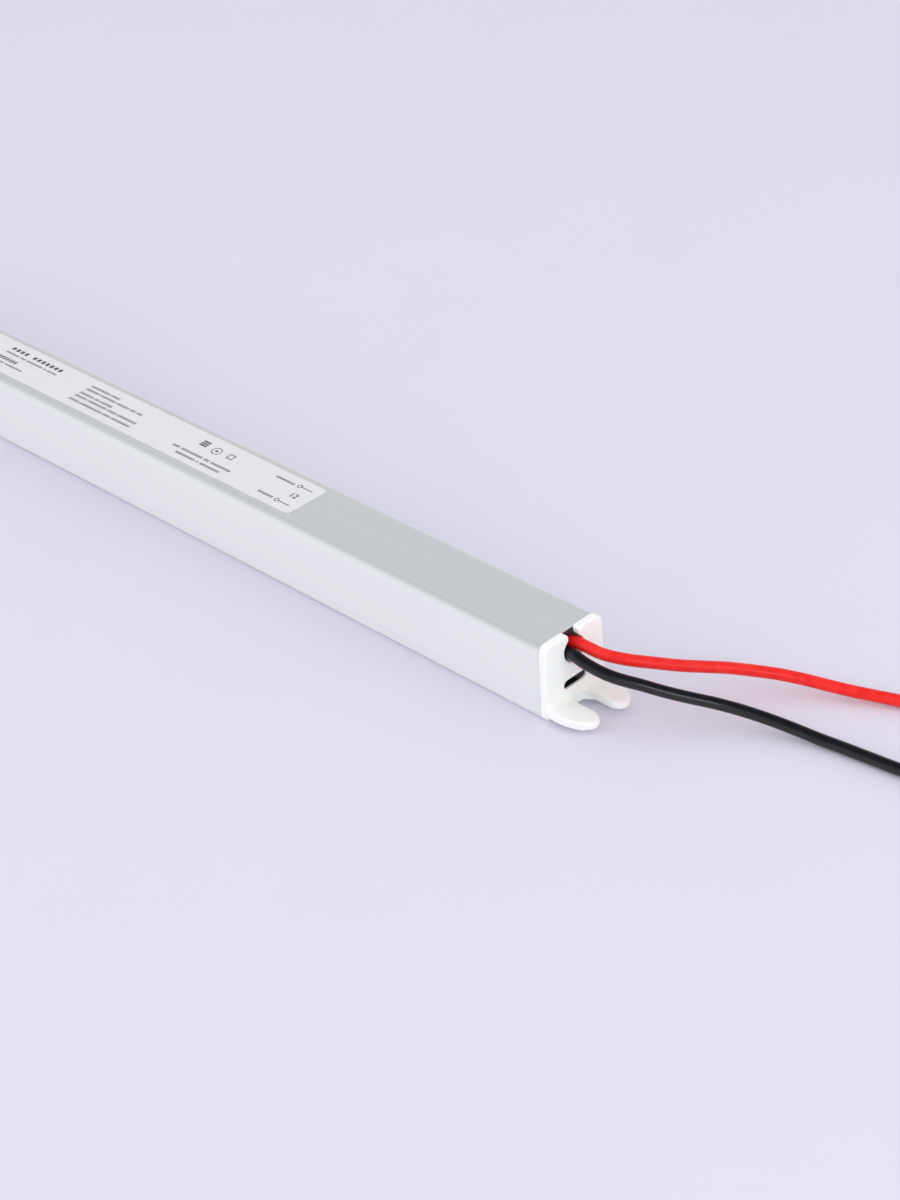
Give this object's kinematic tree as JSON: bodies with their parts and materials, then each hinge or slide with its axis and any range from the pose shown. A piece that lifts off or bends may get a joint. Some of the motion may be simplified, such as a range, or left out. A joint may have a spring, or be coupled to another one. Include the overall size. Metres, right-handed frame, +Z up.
{
  "type": "led driver",
  "caption": "Slim constant-voltage LED driver: square aluminium tube, white end caps with keyhole and forked ear, and a red and a black output lead.",
  "frame": {"origin": "centre of the rectangle the driver stands on, midway between the two ear tips, on the floor", "axes": "+X along the tube towards the output end, +Z up through the labelled face, +Y across, away from the side the picture shows"},
  "size_m": [0.4143, 0.0585, 0.0184],
  "materials": {
    "satin_aluminium": "fine satin, pale anodised",
    "white_plastic": "smooth moulded",
    "label_paper": "matt printed label",
    "red_insulation": "semi-gloss soft insulation",
    "black_insulation": "semi-gloss soft insulation",
    "tinned_metal": "bright tinned strands and solder",
    "clear_film": "clear insulating film",
    "green_laminate": "green solder mask",
    "fuse_ceramic": "white ceramic",
    "blue_epoxy": "dipped epoxy",
    "green_epoxy": "dipped epoxy",
    "yellow_case": "moulded case",
    "ferrite": "dark sintered ferrite",
    "copper_wire": "enamelled copper",
    "black_mould": "moulded black",
    "capacitor_sleeve": "dark shrink sleeve",
    "thermal_pad": "soft grey pad",
    "resistor_body": "tan lacquer",
    "winding_tape": "yellow polyester tape"
  },
  "bodies": {
    "root": {"housing": "satin_aluminium", "input_end_cap": "white_plastic", "output_end_cap": "white_plastic", "rating_label": "label_paper", "red_lead": "red_insulation", "black_lead": "black_insulation", "red_lead_tip": "tinned_metal", "black_lead_tip": "tinned_metal", "insulating_film": "clear_film", "circuit_board": "green_laminate", "fuse": "fuse_ceramic", "varistor": "blue_epoxy", "thermistor": "green_epoxy", "x_capacitor": "yellow_case", "choke_core": "ferrite", "choke_winding_1": "copper_wire", "choke_winding_2": "copper_wire", "choke_base": "black_mould", "bridge_rectifier": "black_mould", "bulk_capacitor_1": "capacitor_sleeve", "bulk_capacitor_2": "capacitor_sleeve", "switching_transistor": "black_mould", "transistor_pad": "thermal_pad", "control_chip": "black_mould", "snubber_resistor": "resistor_body", "transformer_core_1": "ferrite", "transformer_core_2": "ferrite", "transformer_bobbin": "black_mould", "transformer_winding": "winding_tape", "optocoupler": "black_mould", "y_capacitor": "blue_epoxy", "output_rectifier": "black_mould", "rectifier_pad": "thermal_pad", "output_capacitor_1": "capacitor_sleeve", "output_capacitor_2": "capacitor_sleeve", "inductor_core": "ferrite", "inductor_winding": "copper_wire", "red_solder_joint": "tinned_metal", "black_solder_joint": "tinned_metal"}
  },
  "joints": []
}
